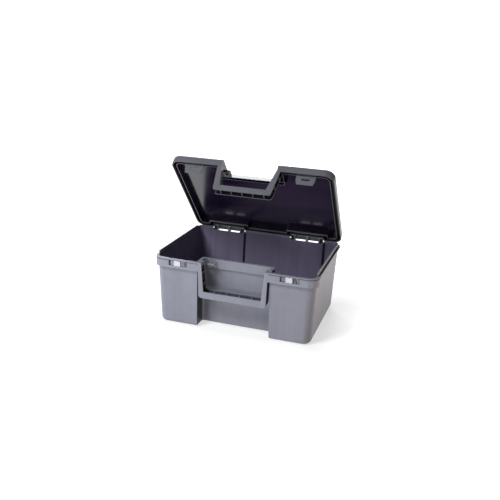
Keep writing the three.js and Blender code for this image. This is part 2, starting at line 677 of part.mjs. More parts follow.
/** The pale square button, plugged into the slider. */
function latchButton(side) {
  const x = side * LATCH_X + BUTTON_SHIFT;
  const cap = roundedOutline(
    x - BUTTON_HALF_WIDTH, x + BUTTON_HALF_WIDTH,
    LATCH_Z - BUTTON_HALF_HEIGHT, LATCH_Z + BUTTON_HALF_HEIGHT, 1.4,
  );
  const geometry = new THREE.ExtrudeGeometry(cap, {
    depth: 1.2, bevelEnabled: true, bevelThickness: 0.5, bevelSize: 0.5, bevelOffset: -0.5,
    bevelSegments: 1, curveSegments: 2,
  });
  geometry.rotateX(Math.PI / 2);
  geometry.translate(0, FRONT_Y + 0.9 - 0.5, 0);
  const dish = block(x - 4.5, x + 4.5, FRONT_Y - 3, FRONT_Y - 0.8, LATCH_Z - 3, LATCH_Z + 3);
  const plug = block(x - 3, x + 3, FRONT_Y + 0.5, FRONT_Y + 2.3, LATCH_Z - 3, LATCH_Z + 3);
  return toSolid(geometry).subtract(dish).add(plug);
}

/** The hook plate behind the wall, clipped on the slider's stem. */
function latchHook(side) {
  const x = side * LATCH_X;
  const y0 = LATCH_BACK_Y + RUNNING_GAP;
  const plate = block(x - 12, x + 12, y0, y0 + 1.3, LATCH_Z - 5, LATCH_Z + 5);
  const hole = block(
    x - STEM_HALF_LENGTH - RUNNING_GAP, x + STEM_HALF_LENGTH + RUNNING_GAP, y0 - 1, y0 + 3,
    LATCH_Z - STEM_HALF_HEIGHT - RUNNING_GAP, LATCH_Z + STEM_HALF_HEIGHT + RUNNING_GAP,
  );
  return plate.subtract(hole);
}

// ---- materials -------------------------------------------------------------------------

function shellPlastic() {
  return new THREE.MeshStandardMaterial({ color: 0x7c7e88, roughness: 0.42, metalness: 0 });
}

function lidPlastic() {
  return new THREE.MeshStandardMaterial({ color: 0x77788a, roughness: 0.38, metalness: 0 });
}

function pinSteel() {
  return new THREE.MeshStandardMaterial({ color: 0xb9bbbe, roughness: 0.3, metalness: 1 });
}

function sliderPlastic() {
  return new THREE.MeshStandardMaterial({ color: 0x83858f, roughness: 0.45, metalness: 0 });
}

function buttonPlastic() {
  return new THREE.MeshStandardMaterial({ color: 0xe4e4ec, roughness: 0.35, metalness: 0 });
}

function hookPlastic() {
  return new THREE.MeshStandardMaterial({ color: 0x5c5e66, roughness: 0.5, metalness: 0 });
}

// ---- assembly --------------------------------------------------------------------------

/** Swings a closed lid's geometry up to the pose it is shown in. */
function swungOpen(geometry) {
  geometry.translate(0, -HINGE_Y, -HINGE_Z);
  geometry.rotateX(-THREE.MathUtils.degToRad(LID_OPEN_DEG));
  geometry.translate(0, HINGE_Y, HINGE_Z);
  return geometry;
}

function addPiece(group, name, geometry, material) {
  const mesh = new THREE.Mesh(geometry, material);
  mesh.name = name;
  group.add(mesh);
}

const toolbox = new THREE.Group();
toolbox.name = 'carpenter_toolbox';
addPiece(toolbox, 'body_shell', toGeometry(bodyShell()), shellPlastic());
addPiece(toolbox, 'lid_shell', swungOpen(toGeometry(lidShell())), lidPlastic());
for (const side of SIDES) {
  const word = side < 0 ? 'left' : 'right';
  addPiece(toolbox, `hinge_pin_${word}`, toGeometry(hingePin(side)), pinSteel());
  addPiece(toolbox, `latch_slider_${word}`, toGeometry(latchSlider(side)), sliderPlastic());
  addPiece(toolbox, `latch_button_${word}`, toGeometry(latchButton(side)), buttonPlastic());
  addPiece(toolbox, `latch_hook_${word}`, toGeometry(latchHook(side)), hookPlastic());
}

export default toolbox;
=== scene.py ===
"""Looks of an open moulded carpenter toolbox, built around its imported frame, in metres."""

from __future__ import annotations

import json
import logging
import math
from collections.abc import Callable
from dataclasses import dataclass, field
from enum import Enum

import bpy
from mathutils import Matrix, Vector
from mathutils.bvhtree import BVHTree

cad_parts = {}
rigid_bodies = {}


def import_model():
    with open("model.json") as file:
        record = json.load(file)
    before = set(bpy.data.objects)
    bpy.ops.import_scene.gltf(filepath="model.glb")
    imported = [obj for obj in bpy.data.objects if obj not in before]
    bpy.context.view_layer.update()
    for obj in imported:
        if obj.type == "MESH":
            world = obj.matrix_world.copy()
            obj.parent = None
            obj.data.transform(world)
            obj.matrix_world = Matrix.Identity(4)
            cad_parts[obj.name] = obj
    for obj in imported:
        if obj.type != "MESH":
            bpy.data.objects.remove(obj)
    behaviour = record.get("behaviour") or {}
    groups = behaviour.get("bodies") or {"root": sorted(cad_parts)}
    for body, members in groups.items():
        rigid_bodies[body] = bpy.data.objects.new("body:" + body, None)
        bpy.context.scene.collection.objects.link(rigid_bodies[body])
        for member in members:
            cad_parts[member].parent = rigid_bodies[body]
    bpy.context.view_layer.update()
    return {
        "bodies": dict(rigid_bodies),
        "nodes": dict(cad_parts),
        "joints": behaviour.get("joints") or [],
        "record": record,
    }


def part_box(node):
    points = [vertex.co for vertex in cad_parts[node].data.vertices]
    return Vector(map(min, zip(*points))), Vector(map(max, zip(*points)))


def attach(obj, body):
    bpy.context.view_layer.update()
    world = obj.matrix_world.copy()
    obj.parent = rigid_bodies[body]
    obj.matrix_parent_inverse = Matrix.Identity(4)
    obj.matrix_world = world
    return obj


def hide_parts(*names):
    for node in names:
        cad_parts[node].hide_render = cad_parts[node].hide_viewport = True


log = logging.getLogger("toolbox")

MM = 0.001
LID_OPEN_DEG = 48.0
HINGE_AXIS = (0.0, 0.144, 0.1705)
PLASTIC_IOR = 1.49
# Painted shade in pockets: faces with little openness have their base colour pulled towards the near-black
# pocket colour.
OPENNESS = "openness"
POCKET_CLOSED = 0.25
POCKET_OPEN = 0.8
POCKET_SHADE_COLOUR = (0.006, 0.005, 0.008, 1.0)


# ---------------------------------------------------------------------------
# Shader expressions
# ---------------------------------------------------------------------------


class Signal:
    """A shader socket that can be used in Python arithmetic."""

    def __init__(self, book: "NodeBook", socket: bpy.types.NodeSocket) -> None:
        """Wraps one output socket.

        Args:
            book: The node book that the socket's tree belongs to.
            socket: The output socket to wrap.
        """
        self.book = book
        self.socket = socket

    def _math(self, operation: str, first: "Signal | float", second: "Signal | float") -> "Signal":
        """Adds one Math node for two operands and returns its result."""
        return self.book.node("ShaderNodeMath", {"operation": operation}, {0: first, 1: second})

    def __add__(self, other: "Signal | float") -> "Signal":
        """Returns self + other."""
        return self._math("ADD", self, other)

    def __radd__(self, other: float) -> "Signal":
        """Returns other + self."""
        return self._math("ADD", other, self)

    def __sub__(self, other: "Signal | float") -> "Signal":
        """Returns self - other."""
        return self._math("SUBTRACT", self, other)

    def __rsub__(self, other: float) -> "Signal":
        """Returns other - self."""
        return self._math("SUBTRACT", other, self)

    def __mul__(self, other: "Signal | float") -> "Signal":
        """Returns self * other."""
        return self._math("MULTIPLY", self, other)

    def __rmul__(self, other: float) -> "Signal":
        """Returns other * self."""
        return self._math("MULTIPLY", other, self)

    def __truediv__(self, other: "Signal | float") -> "Signal":
        """Returns self / other."""
        return self._math("DIVIDE", self, other)

    def power(self, exponent: float) -> "Signal":
        """Returns self raised to a power."""
        return self._math("POWER", self, exponent)

    def cell_offset(self, pitch: float) -> "Signal":
        """Returns the distance to the middle of the nearest cell of a row with this pitch."""
        turns = self / pitch
        return (turns - self.book.node("ShaderNodeMath", {"operation": "ROUND"}, {0: turns})) * pitch

    def clamp_band(self, low: float, high: float) -> "Signal":
        """Maps low..high on to 0..1, clamped.

        Args:
            low: The value that becomes 0.
            high: The value that becomes 1.

        Returns:
            The mapped signal.
        """
        return self.book.node(
            "ShaderNodeMapRange",
            {"clamp": True},
            {"Value": self, "From Min": low, "From Max": high, "To Min": 0.0, "To Max": 1.0},
        )


class NodeBook:
    """Writes the node tree of one material."""

    def __init__(self, material: bpy.types.Material) -> None:
        """Empties the material's tree and starts a new one.

        Args:
            material: The material to write.
        """
        material.use_nodes = True
        self.tree = material.node_tree
        self.tree.nodes.clear()

    def raw(self, kind: str, settings: dict[str, object], inputs: dict[object, object]) -> bpy.types.Node:
        """Adds a node, sets its settings first and then its inputs.

        Args:
            kind: The node's type name.
            settings: Properties of the node, such as its operation.
            inputs: Values or signals, keyed by socket name or number.

        Returns:
            The new node.
        """
        node = self.tree.nodes.new(kind)
        for name, value in settings.items():
            setattr(node, name, value)
        for key, value in inputs.items():
            socket = node.inputs[key]
            if isinstance(value, Signal):
                self.tree.links.new(value.socket, socket)
            else:
                socket.default_value = value
        return node

    def node(
        self, kind: str, settings: dict[str, object], inputs: dict[object, object], output: object = 0
    ) -> Signal:
        """Adds a node as raw does and returns one of its outputs as a signal.

        Args:
            kind: The node's type name.
            settings: Properties of the node.
            inputs: Values or signals for its sockets.
            output: Name or number of the output wanted.

        Returns:
            The output as a signal.
        """
        return Signal(self, self.raw(kind, settings, inputs).outputs[output])

    def object_point(self) -> Signal:
        """Returns the surface point in object coordinates."""
        return self.node("ShaderNodeTexCoord", {}, {}, "Object")

    def noise(self, scale: float, detail: float, roughness: float, stretch: Vector | None = None) -> Signal:
        """Returns a noise value over the surface.

        Args:
            scale: Cycles of the noise in a metre.
            detail: Octaves of finer noise.
            roughness: Strength of the finer octaves.
            stretch: Scale along each axis, or None for an even noise.

        Returns:
            The noise, around 0.5.
        """
        point = self.object_point()
        if stretch is not None:
            point = self.node("ShaderNodeMapping", {}, {"Vector": point, "Scale": stretch})
        inputs = {"Vector": point, "Scale": scale, "Detail": detail, "Roughness": roughness}
        return self.node("ShaderNodeTexNoise", {}, inputs)

    def mix_colour(self, factor: "Signal | float", first: object, second: object) -> Signal:
        """Returns first where factor is 0 and second where it is 1."""
        return self.node(
            "ShaderNodeMix", {"data_type": "RGBA"}, {0: factor, 6: first, 7: second}, 2
        )

    def bump(self, height: Signal, strength: float, distance: float) -> Signal:
        """Returns a normal that is bent by a height."""
        return self.node(
            "ShaderNodeBump", {}, {"Height": height, "Strength": strength, "Distance": distance}
        )

    def shaded_hollows(self, colour: Signal, depth: float) -> Signal:
        """Darkens a colour in pockets and grooves, as a stand-in for the shadow there.

        Args:
            colour: The colour in the open.
            depth: Share of the colour that is lost to painted shade in the deepest pocket.

        Returns:
            The shaded colour.
        """
        attribute = self.node("ShaderNodeAttribute", {"attribute_name": OPENNESS}, {}, "Fac")
        closed = (1.0 - attribute.clamp_band(POCKET_CLOSED, POCKET_OPEN)) * depth
        return self.mix_colour(closed, colour, POCKET_SHADE_COLOUR)

    def split(self, vector: Signal) -> tuple[Signal, Signal, Signal]:
        """Returns the x, y and z of a vector signal."""
        parts = self.raw("ShaderNodeSeparateXYZ", {}, {"Vector": vector})
        return tuple(Signal(self, parts.outputs[axis]) for axis in range(3))

    def surface(self, inputs: dict[object, object]) -> None:
        """Ends the tree in one Principled shader with these inputs."""
        shader = self.node("ShaderNodeBsdfPrincipled", {}, inputs)
        self.raw("ShaderNodeOutputMaterial", {}, {"Surface": shader})


# ---------------------------------------------------------------------------
# Finishes
# ---------------------------------------------------------------------------


Colour = tuple[float, float, float]
WHITE: Colour = (1.0, 1.0, 1.0)


def with_alpha(colour: Colour, factor: float = 1.0) -> tuple[float, float, float, float]:
    """Returns the colour times factor, as four channels."""
    return (colour[0] * factor, colour[1] * factor, colour[2] * factor, 1.0)


@dataclass(frozen=True)
class MouldedPlastic:
    """Injection-moulded plastic with a spark-eroded grain, vertical flow streaks, lighter convex edges and
    painted shade in its pockets.
    """

    name: str
    colour: Colour
    roughness: float = 0.4
    grain_per_metre: float = 1500.0
    grain_strength: float = 0.18
    flow_tint: float = 0.1
    edge_tint: float = 0.16
    streak_stretch: Vector = field(default_factory=lambda: Vector((1.0, 1.0, 0.08)))
    streaks_per_metre: float = 26.0
    # Share of the colour lost to painted shade in the deepest pockets.
    hollow_shade_depth: float = 0.92
    specular: float = 0.3

    def make(self) -> bpy.types.Material:
        """Returns the finish as a material."""
        material = bpy.data.materials.new(self.name)
        book = NodeBook(material)
        grain = book.noise(self.grain_per_metre, 3.0, 0.6)
        streaks = book.noise(self.streaks_per_metre, 4.0, 0.6, self.streak_stretch)
        mottling = book.noise(45.0, 3.0, 0.5)
        scuffs = book.noise(420.0, 2.0, 0.45, Vector((0.25, 1.0, 1.0))).clamp_band(0.68, 0.8)
        edge = book.node("ShaderNodeNewGeometry", {}, {}, "Pointiness").clamp_band(0.53, 0.62)
        tone = streaks.clamp_band(0.3, 0.7) * 0.65 + mottling.clamp_band(0.3, 0.7) * 0.35
        base = book.mix_colour(
            tone, with_alpha(self.colour, 1.0 - self.flow_tint), with_alpha(self.colour, 1.0 + self.flow_tint)
        )
        scuffed = book.mix_colour(scuffs * 0.1, base, with_alpha(self.colour, 1.5))
        # Lighter colour along convex edges, where Pointiness is high.
        edge_lightened = book.mix_colour(edge * self.edge_tint, scuffed, with_alpha(self.colour, 2.0))
        rough = self.roughness - 0.05 + mottling * 0.06 + grain * 0.05 + scuffs * 0.08
        normal = book.bump(grain + streaks * 0.8, self.grain_strength, 0.00018)
        shaded = book.shaded_hollows(edge_lightened, self.hollow_shade_depth)
        book.surface({
            "Base Color": shaded, "Roughness": rough, "Normal": normal, "IOR": PLASTIC_IOR,
            "Specular IOR Level": self.specular,
        })
        return material


@dataclass(frozen=True)
class InnerWall:
    """Smoother inside face of a moulding, with streaks and the round marks of ejector pins."""

    name: str
    colour: Colour
    roughness: float = 0.3
    streak_stretch: Vector = field(default_factory=lambda: Vector((1.0, 1.0, 0.1)))
    streaks_per_metre: float = 34.0
    streak_tint: float = 0.14
    specular: float = 0.5
    tilt: float = 0.0
    pivot: Vector = field(default_factory=lambda: Vector((0.0, 0.0, 0.0)))
    pin_pitch: float = 80.0 * MM
    pin_radius: float = 4.0 * MM
    # Share of the colour lost to painted shade in the deepest pockets.
    hollow_shade_depth: float = 0.92

    def pin_marks(self, book: NodeBook) -> Signal:
        """Returns 1 on the thin rims of the ejector marks and 0 elsewhere.

        Args:
            book: The material's node book.

        Returns:
            The marks as a signal.
        """
        turn = (math.radians(self.tilt), 0.0, 0.0)
        centred = book.node(
            "ShaderNodeVectorMath", {"operation": "SUBTRACT"}, {0: book.object_point(), 1: self.pivot}
        )
        laid = book.node("ShaderNodeMapping", {}, {"Vector": centred, "Rotation": turn})
        across, along, _ = book.split(laid)
        first = across.cell_offset(self.pin_pitch)
        second = (along - self.pin_pitch / 2).cell_offset(self.pin_pitch)
        distance = (first * first + second * second).power(0.5)
        ring = (distance - self.pin_radius) * (distance - self.pin_radius)
        return 1.0 - ring.clamp_band(0.0, (0.35 * MM) ** 2)

    def make(self) -> bpy.types.Material:
        """Returns the finish as a material."""
        material = bpy.data.materials.new(self.name)
        book = NodeBook(material)
        streaks = book.noise(self.streaks_per_metre, 5.0, 0.62, self.streak_stretch)
        clouds = book.noise(11.0, 3.0, 0.5)
        marks = self.pin_marks(book)
        tone = streaks.clamp_band(0.34, 0.66) * 0.7 + clouds.clamp_band(0.3, 0.7) * 0.3
        dark = with_alpha(self.colour, 1.0 - self.streak_tint)
        light = with_alpha(self.colour, 1.0 + self.streak_tint)
        base = book.mix_colour(tone, dark, light)
        marked = book.mix_colour(marks * 0.25, base, with_alpha(self.colour, 1.6))
        rough = self.roughness - 0.04 + streaks * 0.08
        normal = book.bump(streaks * 0.5 + marks * 0.6, 0.08, 0.0002)
        shaded = book.shaded_hollows(marked, self.hollow_shade_depth)
        book.surface({
            "Base Color": shaded, "Roughness": rough, "Normal": normal, "IOR": PLASTIC_IOR,
            "Specular IOR Level": self.specular,
        })
        return material


@dataclass(frozen=True)
class DrawnSteel:
    """Drawn steel wire with fine lengthwise lines."""

    name: str
    colour: Colour = (0.6, 0.6, 0.62)
    roughness: float = 0.28

    def make(self) -> bpy.types.Material:
        """Returns the finish as a material."""
        material = bpy.data.materials.new(self.name)
        book = NodeBook(material)
        lines = book.noise(2200.0, 2.0, 0.5, Vector((0.02, 1.0, 1.0)))
        patches = book.noise(160.0, 3.0, 0.6)
        base = book.mix_colour(patches, with_alpha(self.colour, 0.85), with_alpha(self.colour, 1.1))
        rough = self.roughness - 0.06 + lines * 0.12
        normal = book.bump(lines, 0.2, 0.00005)
        book.surface({"Base Color": base, "Roughness": rough, "Normal": normal, "Metallic": 1.0})
        return material


@dataclass(frozen=True)
class StudioPaper:
    """White paper that glows, less so near the object as a painted contact shadow, with its own setting for
    what it gives off.

    Attributes:
        name: The material's name.
        glow: Its glow at the object's foot, lowered there as painted shadow.
        shown: Its whiteness as seen.
        bounced: Its whiteness towards the object's matt surfaces.
        spill: Its glow towards the object's matt surfaces.
        footprint: Half the width and depth that the object stands on.
        reach: Distance over which the painted shadow fades, the glow growing to far_glow.
        far_glow: Its glow away from the object.
    """

    name: str
    glow: float
    shown: float
    bounced: float
    spill: float
    footprint: Vector
    reach: float = 0.22
    far_glow: float = 1.2

    def make(self) -> bpy.types.Material:
        """Returns the finish as a material."""
        material = bpy.data.materials.new(self.name)
        book = NodeBook(material)
        diffuse_ray = book.node("ShaderNodeLightPath", {}, {}, "Is Diffuse Ray")
        fibres = book.noise(900.0, 3.0, 0.6)
        tint = book.mix_colour(diffuse_ray, with_alpha(WHITE, self.shown), with_alpha(WHITE, self.bounced))
        along, across, _ = book.split(book.object_point())
        beside = (along * along).power(0.5).clamp_band(self.footprint.x, self.footprint.x + self.reach)
        before = (across * across).power(0.5).clamp_band(self.footprint.y, self.footprint.y + self.reach)
        away = (beside * beside + before * before).power(0.5)
        # Painted contact shadow: the glow dips near the footprint.
        glow = book.mix_colour(away, with_alpha(WHITE, self.glow), with_alpha(WHITE, self.far_glow))
        light = book.mix_colour(diffuse_ray, glow, with_alpha(WHITE, self.spill))
        normal = book.bump(fibres, 0.05, 0.0002)
        book.surface({
            "Base Color": tint, "Roughness": 0.9, "Specular IOR Level": 0.0, "Normal": normal,
            "Emission Color": light, "Emission Strength": 1.0,
        })
        return material


# ---------------------------------------------------------------------------
# Work on meshes
# ---------------------------------------------------------------------------


class Bench:
    """Common hand operations on one object at a time."""

    @staticmethod
    def clear_selection() -> None:
        """Deselects every object."""
        bpy.ops.object.select_all(action="DESELECT")

    @classmethod
    def hold(cls, piece: bpy.types.Object) -> None:
        """Makes one object the only selected and active one."""
        cls.clear_selection()
        piece.select_set(True)
        bpy.context.view_layer.objects.active = piece

    @classmethod
    def copy_of_node(cls, node: bpy.types.Object, name: str) -> bpy.types.Object:
        """Copies a frame node, joins its loose triangles and dissolves its flat faces.

        Args:
            node: The frame node to copy.
            name: The new piece's name.

        Returns:
            The new piece.
        """
        piece = bpy.data.objects.new(name, node.data.copy())
        bpy.context.scene.collection.objects.link(piece)
        cls.hold(piece)
        bpy.ops.object.mode_set(mode="EDIT")
        bpy.ops.mesh.select_all(action="SELECT")
        bpy.ops.mesh.remove_doubles(threshold=2e-6)
        bpy.ops.mesh.dissolve_limited(angle_limit=math.radians(0.4))
        bpy.ops.object.mode_set(mode="OBJECT")
        if piece.data.has_custom_normals:
            bpy.ops.mesh.customdata_custom_splitnormals_clear()
        return piece

    @classmethod
    def score(cls, piece: bpy.types.Object, point: Vector, normal: Vector) -> None:
        """Cuts a piece's faces along a plane, without taking anything away.

        Args:
            piece: The piece to cut.
            point: A point of the plane.
            normal: The plane's normal.
        """
        cls.hold(piece)
        bpy.ops.object.mode_set(mode="EDIT")
        bpy.ops.mesh.select_all(action="SELECT")
        bpy.ops.mesh.bisect(plane_co=point, plane_no=normal)
        bpy.ops.object.mode_set(mode="OBJECT")

    @classmethod
    def round_edges(
        cls, piece: bpy.types.Object, width: float, segments: int = 2, angle: float = 40.0
    ) -> None:
        """Rounds every edge sharper than an angle, with an applied bevel.

        Args:
            piece: The piece to round.
            width: Width of the rounding.
            segments: Number of facets across it.
            angle: Smallest angle in degrees that is rounded.
        """
        cls.hold(piece)
        bevel = piece.modifiers.new("edge_rounding", "BEVEL")
        bevel.width = width
        bevel.segments = segments
        bevel.limit_method = "ANGLE"
        bevel.angle_limit = math.radians(angle)
        bevel.miter_outer = "MITER_ARC"
        bevel.use_clamp_overlap = True
        bpy.ops.object.modifier_apply(modifier=bevel.name)

    @classmethod
    def smooth(cls, piece: bpy.types.Object, angle: float = 32.0) -> None:
        """Shades a piece smooth across edges flatter than an angle in degrees, flat faces kept flat."""
        cls.hold(piece)
        bpy.ops.object.shade_smooth_by_angle(angle=math.radians(angle))
        weighted = piece.modifiers.new("flat_faces_first", "WEIGHTED_NORMAL")
        weighted.mode = "FACE_AREA"
        weighted.weight = 100
        weighted.keep_sharp = True
        bpy.ops.object.modifier_apply(modifier=weighted.name)

    @classmethod
    def box(cls, name: str, low: Vector, high: Vector) -> bpy.types.Object:
        """Adds a box between two corners, with its place in its mesh.

        Args:
            name: The piece's name.
            low: Its lowest corner.
            high: Its highest corner.

        Returns:
            The box.
        """
        cls.clear_selection()
        bpy.ops.mesh.primitive_cube_add(size=1.0, location=(low + high) / 2)
        piece = bpy.context.active_object
        piece.name = name
        piece.scale = high - low
        bpy.ops.object.transform_apply(location=True, rotation=True, scale=True)
        return piece

    @classmethod
    def pick_faces(cls, piece: bpy.types.Object, towards: Vector, limit: float = 0.98) -> None:
        """Enters edit mode with the faces that look one way selected.

        Args:
            piece: The piece to work on.
            towards: The direction the faces look.
            limit: Smallest cosine of the angle to that direction.
        """
        cls.hold(piece)
        bpy.ops.object.mode_set(mode="EDIT")
        bpy.ops.mesh.select_mode(type="FACE")
        bpy.ops.mesh.select_all(action="DESELECT")
        bpy.ops.object.mode_set(mode="OBJECT")
        for polygon in piece.data.polygons:
            polygon.select = polygon.normal.dot(towards) > limit
        bpy.ops.object.mode_set(mode="EDIT")

    @classmethod
    def draw_out(
        cls, piece: bpy.types.Object, towards: Vector, steps: list[tuple[float, float, float]]
    ) -> None:
        """Extrudes the face that looks one way along Y, again and again.

        Args:
            piece: The piece to shape.
            towards: The direction the face looks.
            steps: For each extrusion, factors for its width and height, and its move along the direction.
        """
        corners = [Vector(corner) for corner in piece.bound_box]
        centre = sum(corners, Vector()) / len(corners)
        cls.pick_faces(piece, towards)
        for wide, high, move in steps:
            bpy.ops.mesh.extrude_region_move(TRANSFORM_OT_translate={"value": (0.0, 0.0, 0.0)})
            bpy.ops.transform.resize(value=(wide, 1.0, high), center_override=centre)
            bpy.ops.transform.translate(value=towards * move)
        cls.leave_edit()

    @classmethod
    def spread(
        cls, piece: bpy.types.Object, seed: int, allowed: Callable[[bpy.types.MeshPolygon], bool]
    ) -> set[int]:
        """Walks from one face over shared edges, across allowed faces only.

        Args:
            piece: The piece to walk on.
            seed: The face to start from.
            allowed: Says whether a face may be entered.

        Returns:
            The numbers of the faces reached.
        """
        polygons = piece.data.polygons
        sharing: dict[tuple[int, int], list[int]] = {}
        for polygon in polygons:
            for key in polygon.edge_keys:
                sharing.setdefault(key, []).append(polygon.index)
        reached = {seed}
        waiting = [seed]
        while waiting:
            polygon = polygons[waiting.pop()]
            for key in polygon.edge_keys:
                for other in sharing[key]:
                    if other not in reached and allowed(polygons[other]):
                        reached.add(other)
                        waiting.append(other)
        return reached

    @classmethod
    def cylinder(
        cls, name: str, radius: float, start: Vector, end: Vector, sides: int = 48
    ) -> bpy.types.Object:
        """Adds a cylinder between two points, with its place in its mesh.

        Args:
            name: The piece's name.
            radius: Its radius.
            start: The middle of one end.
            end: The middle of the other end.
            sides: Number of facets round it.

        Returns:
            The cylinder.
        """
        cls.clear_selection()
        along = end - start
        bpy.ops.mesh.primitive_cylinder_add(
            vertices=sides, radius=radius, depth=along.length, location=(start + end) / 2,
            rotation=along.to_track_quat("Z", "Y").to_euler(),
        )
        piece = bpy.context.active_object
        piece.name = name
        bpy.ops.object.transform_apply(location=True, rotation=True, scale=True)
        return piece

    @classmethod
    def note_openness(cls, piece: bpy.types.Object, reach: float, rays: int = 40) -> None:
        """Writes to each face how freely it is reached, from 0 in a deep pocket to 1 in the open.

        Args:
            piece: The piece to look over.
            reach: How far away a wall still counts.
            rays: Number of directions tried from each face.
        """
        mesh = piece.data
        tree = BVHTree.FromPolygons(
            [vertex.co for vertex in mesh.vertices], [polygon.vertices[:] for polygon in mesh.polygons]
        )
        golden = math.pi * (3.0 - math.sqrt(5.0))
        # The materials paint shade on faces with low openness.
        values = mesh.attributes.new(OPENNESS, "FLOAT", "FACE")
        for polygon in mesh.polygons:
            turn = polygon.normal.to_track_quat("Z", "Y")
            start = polygon.center + polygon.normal * 0.05 * MM
            free = 0
            for ray in range(rays):
                share = (ray + 0.5) / rays
                radius, angle = math.sqrt(share), golden * ray
                direction = Vector((radius * math.cos(angle), radius * math.sin(angle), math.sqrt(1 - share)))
                free += tree.ray_cast(start, turn @ direction, reach)[0] is None
            values.data[polygon.index].value = free / rays

    @classmethod
    def leave_edit(cls) -> None:
        """Goes back to object mode."""
        bpy.ops.object.mode_set(mode="OBJECT")

    @classmethod
    def dress(cls, piece: bpy.types.Object, material: bpy.types.Material) -> None:
        """Gives a piece one material all over."""
        piece.data.materials.clear()
        piece.data.materials.append(material)


# ---------------------------------------------------------------------------
# Finishes in use
# ---------------------------------------------------------------------------


class Finish(Enum):
    """The finishes of the toolbox."""

    TUB = MouldedPlastic("grey_tub_plastic", (0.235, 0.243, 0.295), 0.42)
    # Painted shade: the tub's inside is the same plastic as its outside, given a darker, purpler colour for
    # the shade inside the tub.
    TUB_INSIDE = InnerWall("tub_inside_shaded_plastic", (0.2, 0.175, 0.262), 0.36, specular=0.25)
    # Painted shade: the lid is taken as the tub's plastic, its colour darkened so its faces look as shaded as
    # the tub's.
    LID = MouldedPlastic("shaded_grey_lid_plastic", (0.125, 0.128, 0.15), 0.36)
    # Painted shade: the lid's inside is the same plastic, made near black for the shade under the open lid.
    LID_INSIDE = InnerWall(
        "lid_inside_shaded_plastic", (0.011, 0.006, 0.02), 0.18, streak_stretch=Vector((0.12, 1.0, 1.0)),
        streaks_per_metre=30.0, streak_tint=0.85, specular=1.0, tilt=LID_OPEN_DEG, pivot=Vector(HINGE_AXIS),
    )
    SLIDER = MouldedPlastic("grey_slider_plastic", (0.22, 0.227, 0.27), 0.45)
    BUTTON = MouldedPlastic(
        "pale_button_plastic", (0.62, 0.62, 0.69), 0.32, grain_per_metre=2200.0, grain_strength=0.1,
        flow_tint=0.02, edge_tint=0.05,
    )
    HOOK = MouldedPlastic("dark_hook_plastic", (0.08, 0.08, 0.095), 0.5)
    PIN = DrawnSteel("drawn_pin_steel")


class Wardrobe:
    """Makes each finish once and hands it out."""

    def __init__(self) -> None:
        """Starts with no finish made."""
        self.made: dict[Finish, bpy.types.Material] = {}

    def take(self, finish: Finish) -> bpy.types.Material:
        """Returns the material of a finish, made on first use."""
        if finish not in self.made:
            self.made[finish] = finish.value.make()
        return self.made[finish]


# ---------------------------------------------------------------------------
# Sub-assemblies
# ---------------------------------------------------------------------------


@dataclass
class Shell:
    """One moulded half of the case, with its edges softened as moulding leaves them."""

    frame: dict[str, object]
    node: str
    body: str
    outside: Finish
    # The inside finish is a darker copy of the plastic, painted shade for the inside.
    inside: Finish
    edge_width: float = 0.7 * MM
    pocket_reach: float = 22.0 * MM

    def is_seed(self, polygon: bpy.types.MeshPolygon) -> bool:
        """Says whether a face is surely on the inside."""
        raise NotImplementedError

    def is_inner(self, polygon: bpy.types.MeshPolygon) -> bool:
        """Says whether a face may belong to the inside."""
        raise NotImplementedError

    def score_faces(self, piece: bpy.types.Object) -> None:
        """Cuts faces where one finish ends within them; most shells have none."""

    def dress(self, piece: bpy.types.Object, wardrobe: Wardrobe) -> None:
        """Gives the outside its finish and the inside a darker finish that paints the shade there.

        Args:
            piece: The shell.
            wardrobe: Where the finishes come from.
        """
        Bench.dress(piece, wardrobe.take(self.outside))
        piece.data.materials.append(wardrobe.take(self.inside))
        seeds = [polygon for polygon in piece.data.polygons if self.is_seed(polygon)]
        widest = max(seeds, key=lambda polygon: polygon.area)
        for index in Bench.spread(piece, widest.index, self.is_inner):
            piece.data.polygons[index].material_index = 1

    def build(self, wardrobe: Wardrobe) -> bpy.types.Object:
        """Builds and dresses the shell.

        Args:
            wardrobe: Where its finishes come from.

        Returns:
            The finished shell.
        """
        piece = Bench.copy_of_node(self.frame["nodes"][self.node], f"{self.node}_moulding")
        self.score_faces(piece)
        Bench.round_edges(piece, self.edge_width)
        Bench.smooth(piece)
        Bench.note_openness(piece, self.pocket_reach)
        self.dress(piece, wardrobe)
        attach(piece, self.body)
        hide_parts(self.node)
        return piece


@dataclass
class Tub(Shell):
    """The deep lower half."""

    flange_underside: float = 164.6 * MM
    latch_wall: float = -137.0 * MM
    lip_inside: float = 0.18
    floor_above: float = 2.0 * MM
    floor_below: float = 4.0 * MM

    def is_seed(self, polygon: bpy.types.MeshPolygon) -> bool:
        """Says whether a face is the floor inside the tub."""
        return polygon.normal.z > 0.99 and self.floor_above < polygon.center.z < self.floor_below

    def is_inner(self, polygon: bpy.types.MeshPolygon) -> bool:
        """Says whether a face is under the flange and behind the latches."""
        if polygon.center.z < self.flange_underside:
            return polygon.center.y > self.latch_wall
        inward = -polygon.center.x * polygon.normal.x / abs(polygon.center.x or 1.0)
        return abs(polygon.center.x) > self.lip_inside and inward > 0.7


